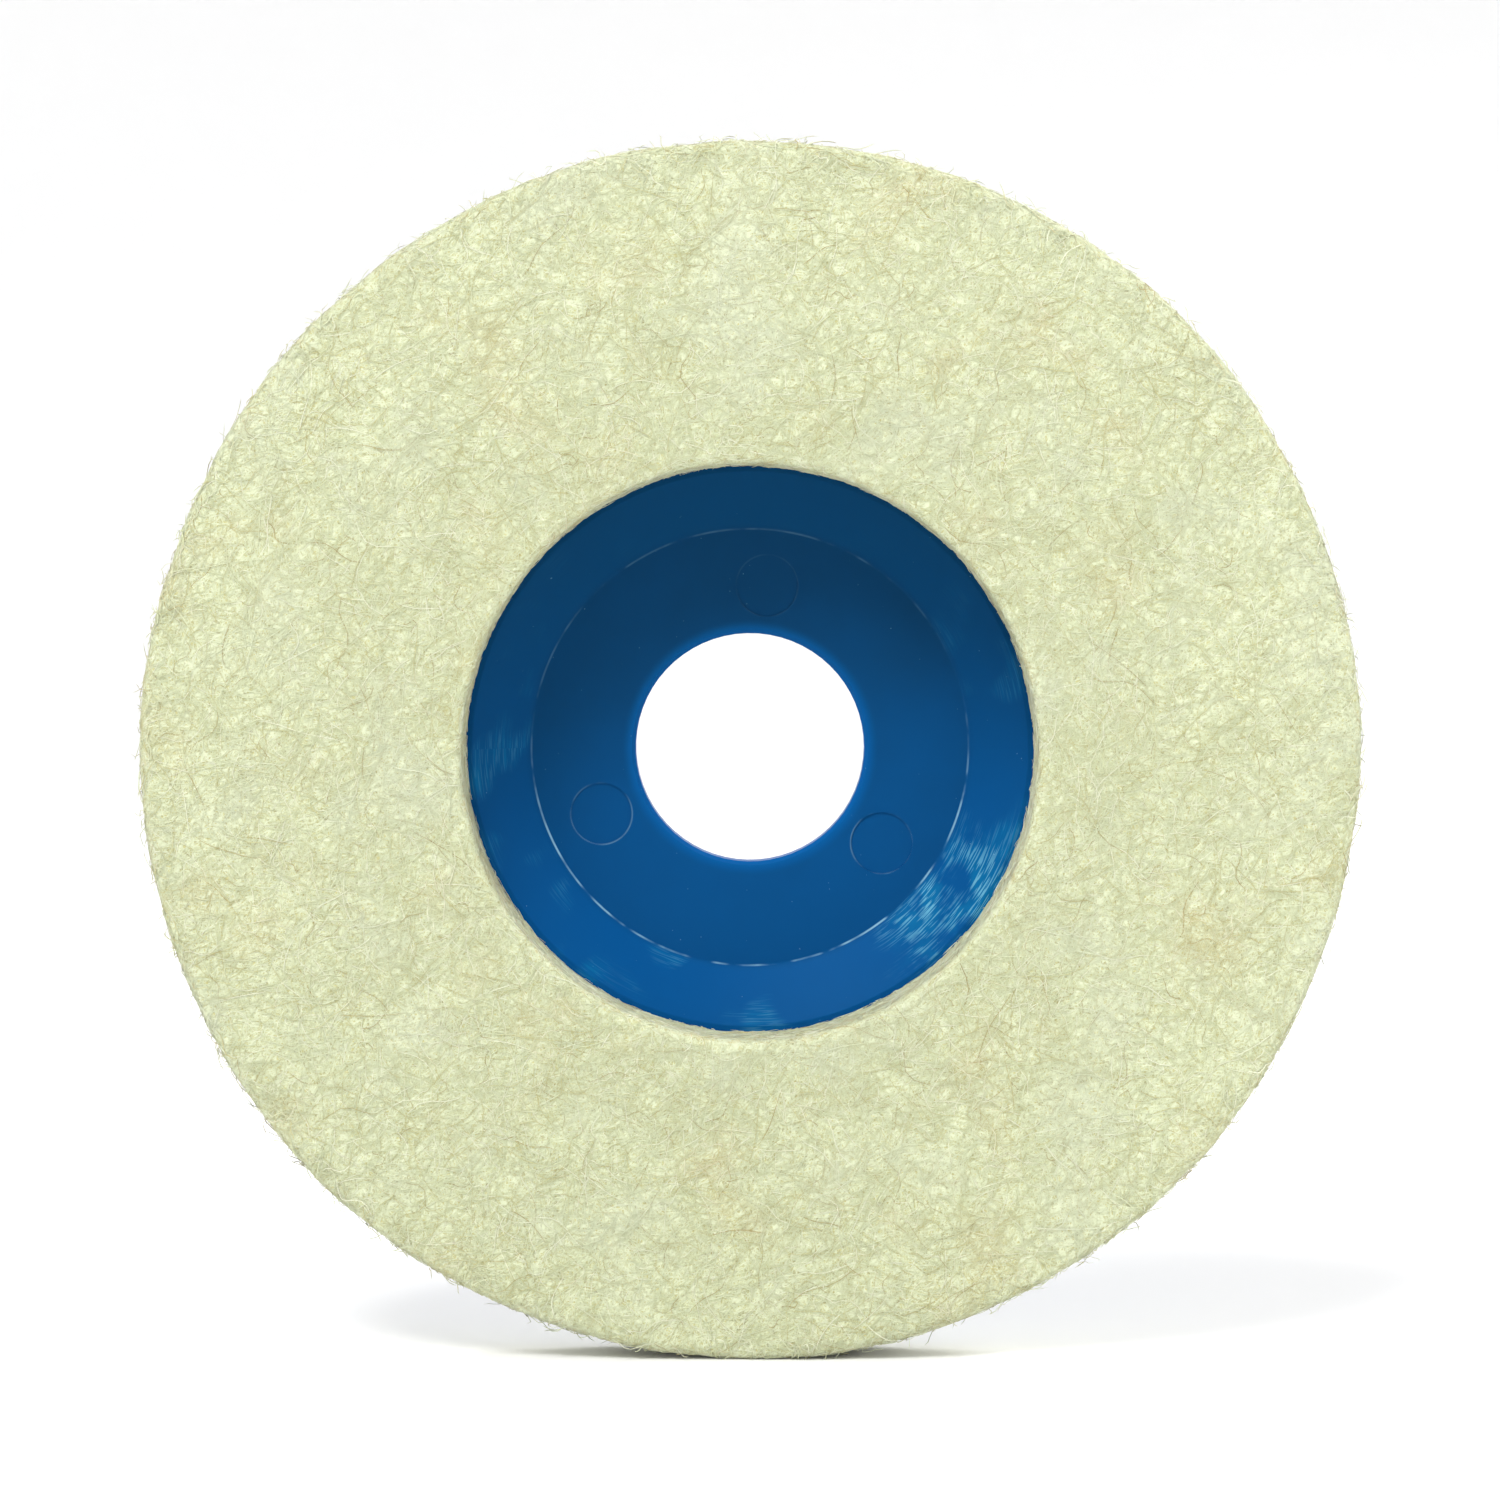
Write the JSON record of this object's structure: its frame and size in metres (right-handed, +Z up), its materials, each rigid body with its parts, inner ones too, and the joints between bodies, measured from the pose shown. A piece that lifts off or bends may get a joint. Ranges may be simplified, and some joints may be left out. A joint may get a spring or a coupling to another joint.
{
  "type": "polishing pad",
  "caption": "Flat wool felt polishing disc with a moulded backing plate, raised recessed hub and central bore, for an angle grinder.",
  "frame": {"origin": "centre of the bore on the hub's outer seat, where the grinder's flange bears", "axes": "+Y along the spindle axis towards the grinder, -Y towards the work, +Z up with the disc standing on its rim, +X completes the right hand"},
  "size_m": [0.115, 0.0149, 0.115],
  "materials": {
    "hub_plastic": "satin moulded plastic with scuffs in the recess",
    "wool_felt": "pressed wool felt with loose surface fibres",
    "hot_melt": "dried hot-melt film",
    "label_paper": "satin printed paper"
  },
  "bodies": {
    "root": {"backing_plate": "hub_plastic", "felt_ring": "wool_felt", "adhesive_film": "hot_melt", "back_label": "label_paper"}
  },
  "joints": []
}
